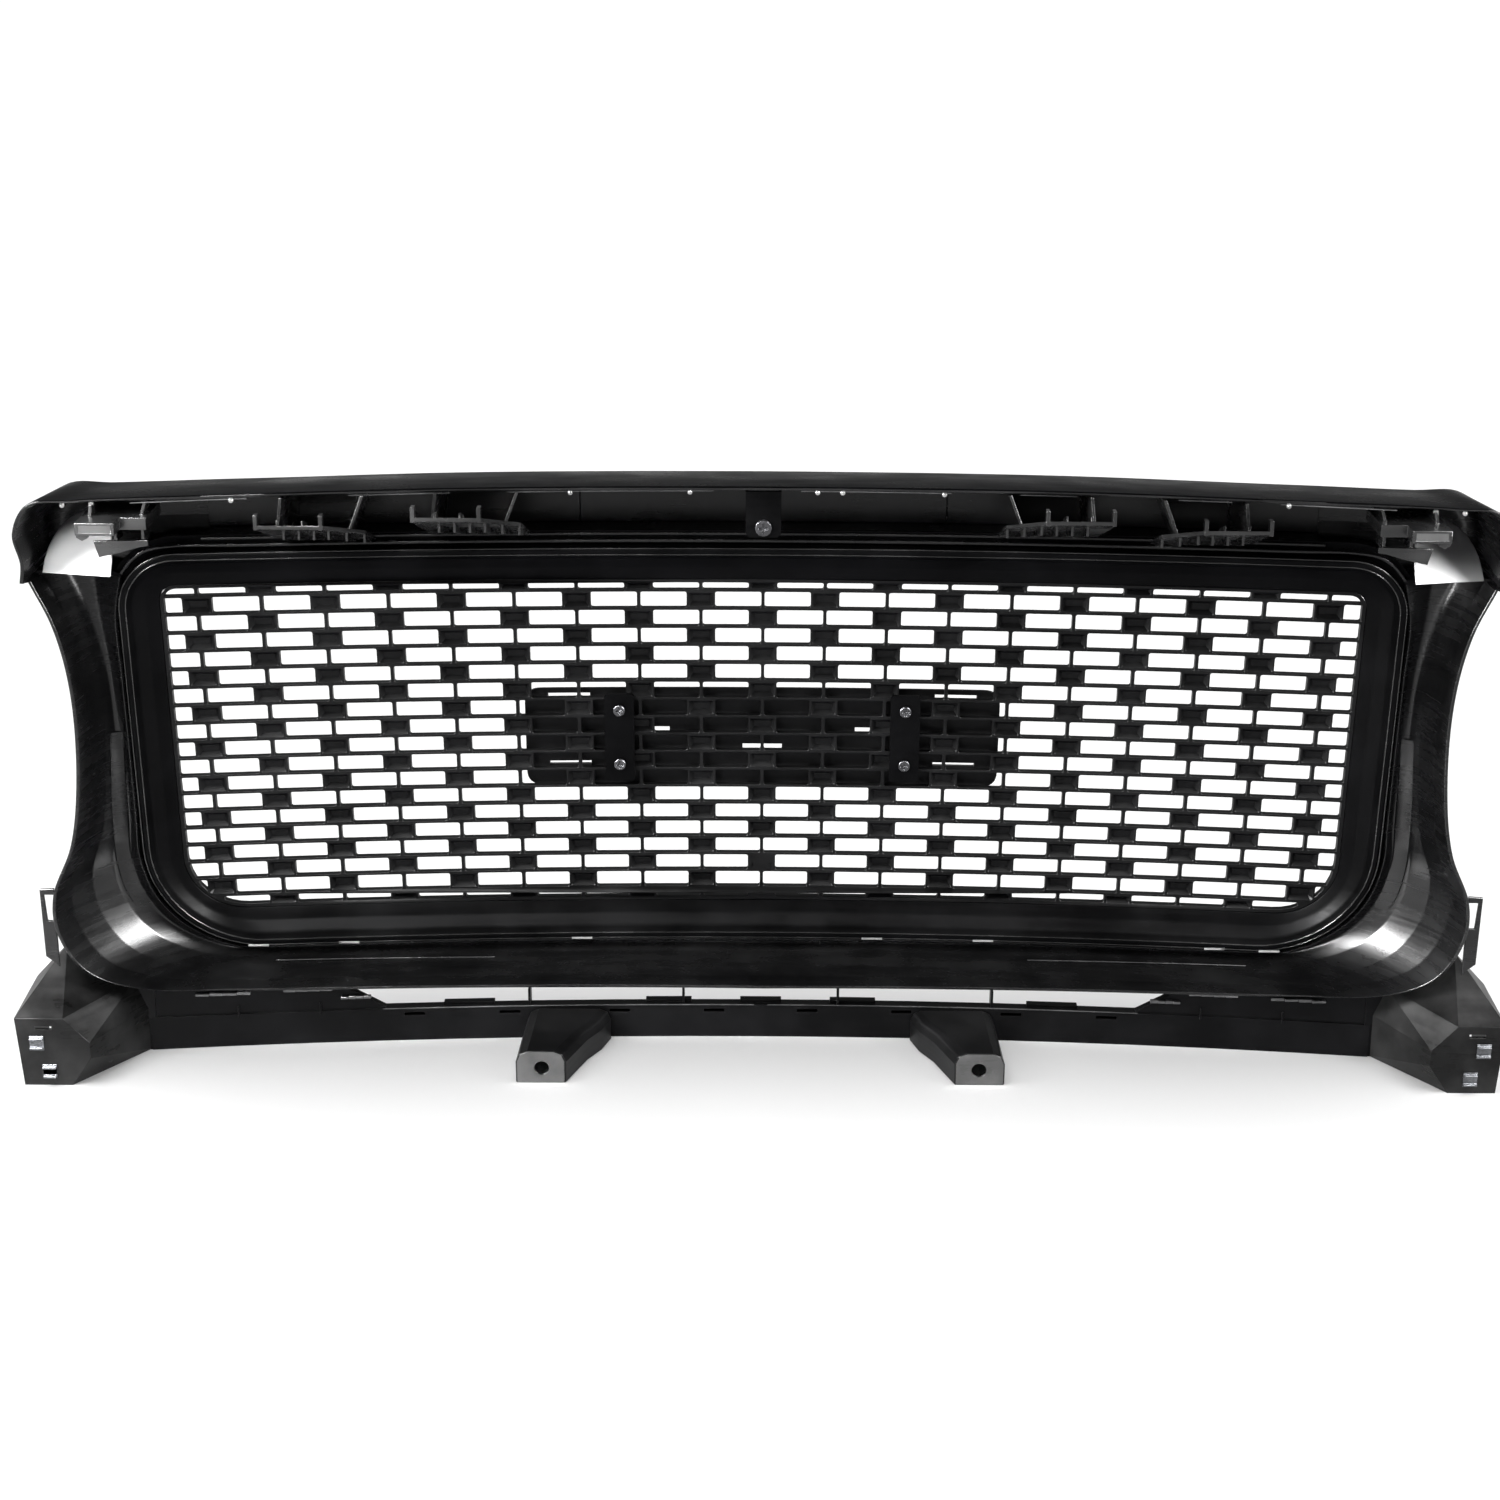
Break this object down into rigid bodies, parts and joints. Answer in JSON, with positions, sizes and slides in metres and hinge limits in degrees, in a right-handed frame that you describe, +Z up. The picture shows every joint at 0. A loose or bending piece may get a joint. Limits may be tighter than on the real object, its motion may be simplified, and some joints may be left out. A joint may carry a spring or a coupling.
{
  "type": "front grille",
  "caption": "Swept black vehicle front grille with a brick-pattern mesh, deep surround, ribbed upper tongues, bolted lower arms and clip-on corner arms.",
  "frame": {"origin": "bottom centre of the bounding box, on the surface that the grille stands on", "axes": "+X towards the vehicle's left, +Y towards the vehicle's rear, which is the pictured side, +Z up"},
  "size_m": [1.254, 0.2037, 0.5146],
  "materials": {
    "satin_black": "satin moulded black",
    "frame_black": "fine-grained moulded black",
    "mesh_black": "matte moulded black",
    "gloss_black": "gloss black",
    "panel_grey": "smooth dark grey moulding",
    "dark_steel": "dark coated steel",
    "clip_steel": "zinc-plated spring steel"
  },
  "bodies": {
    "root": {"mesh_insert": "mesh_black", "inner_frame": "frame_black", "front_trim_ring": "gloss_black", "surround_header_centre": "satin_black", "surround_header_left": "satin_black", "surround_header_right": "satin_black", "surround_side_left": "satin_black", "surround_side_right": "satin_black", "surround_lip": "satin_black", "header_wall_centre": "frame_black", "header_wall_left": "frame_black", "header_wall_right": "frame_black", "header_shelf": "frame_black", "upper_mount_outer_left": "frame_black", "upper_mount_outer_right": "frame_black", "upper_mount_inner_left": "frame_black", "upper_mount_inner_right": "frame_black", "shoulder_locator_left": "frame_black", "shoulder_locator_right": "frame_black", "shoulder_panel_left": "panel_grey", "shoulder_panel_right": "panel_grey", "centre_bracket": "frame_black", "centre_screw": "dark_steel", "badge_carrier": "mesh_black", "badge_face": "gloss_black", "badge_retainer_left": "frame_black", "badge_retainer_right": "frame_black", "badge_screw_upper_left": "dark_steel", "badge_screw_upper_right": "dark_steel", "badge_screw_lower_left": "dark_steel", "badge_screw_lower_right": "dark_steel", "lower_valance": "satin_black", "lower_arm_left": "satin_black", "lower_arm_right": "satin_black", "corner_arm_left": "satin_black", "corner_arm_right": "satin_black", "corner_clip_upper_left": "clip_steel", "corner_clip_upper_right": "clip_steel", "corner_clip_lower_left": "clip_steel", "corner_clip_lower_right": "clip_steel", "side_tab_left": "satin_black", "side_tab_right": "satin_black"}
  },
  "joints": []
}
